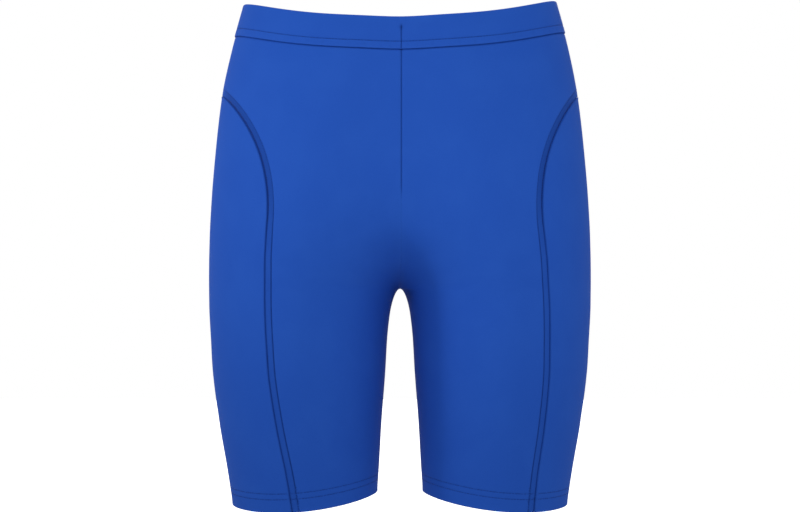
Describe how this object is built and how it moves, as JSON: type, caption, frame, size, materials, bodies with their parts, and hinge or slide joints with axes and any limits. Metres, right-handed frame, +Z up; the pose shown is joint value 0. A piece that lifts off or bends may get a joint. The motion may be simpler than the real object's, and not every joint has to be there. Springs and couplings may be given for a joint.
{
  "type": "cycling shorts",
  "caption": "Thigh-length stretch-knit cycling shorts with a raised waistband, arched side panels and turned-up hems, open and filled out as worn.",
  "frame": {"origin": "middle of the waist opening, half way up the waistband at the sides", "axes": "+Z up from hems to waist, the front faces -Y, +X is the wearer's left"},
  "size_m": [0.3427, 0.2211, 0.4517],
  "materials": {
    "knit": "satin stretch knit",
    "band_knit": "satin stretch knit over elastic"
  },
  "bodies": {
    "root": {"waistband": "band_knit", "front_left": "knit", "back_left": "knit", "side_left": "knit", "front_right": "knit", "back_right": "knit", "side_right": "knit"}
  },
  "joints": []
}
